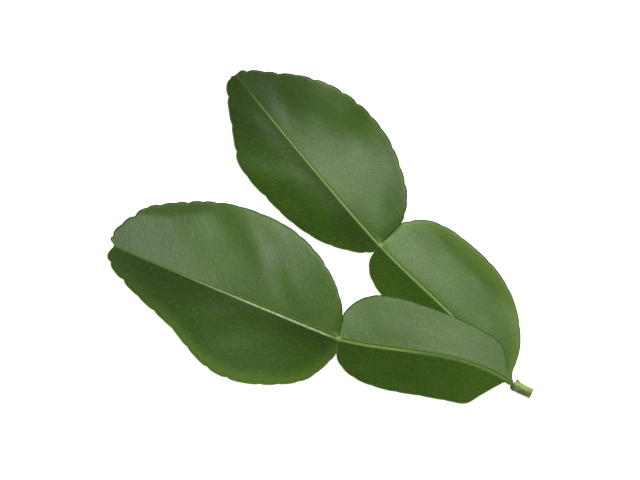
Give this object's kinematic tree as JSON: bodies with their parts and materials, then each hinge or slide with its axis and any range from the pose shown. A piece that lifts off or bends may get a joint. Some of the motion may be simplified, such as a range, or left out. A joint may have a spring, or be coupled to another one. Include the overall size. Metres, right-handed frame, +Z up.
{
  "type": "kaffir lime leaf sprig",
  "caption": "Picked sprig of kaffir lime: hourglass double leaves with winged stalks on the stub of a green twig, lying flat, used as a cooking herb.",
  "frame": {"origin": "centre of the footprint, on the surface that the sprig lies on", "axes": "+X runs from the tip of the front leaf to the twig, +Z up out of the glossy side of the leaves, +Y towards the tip of the back leaf"},
  "size_m": [0.1192, 0.0934, 0.0076],
  "materials": {
    "leaf": "satin",
    "twig": "satin"
  },
  "bodies": {
    "root": {"leaf_front": "leaf", "leaf_back": "leaf", "twig": "twig"}
  },
  "joints": []
}
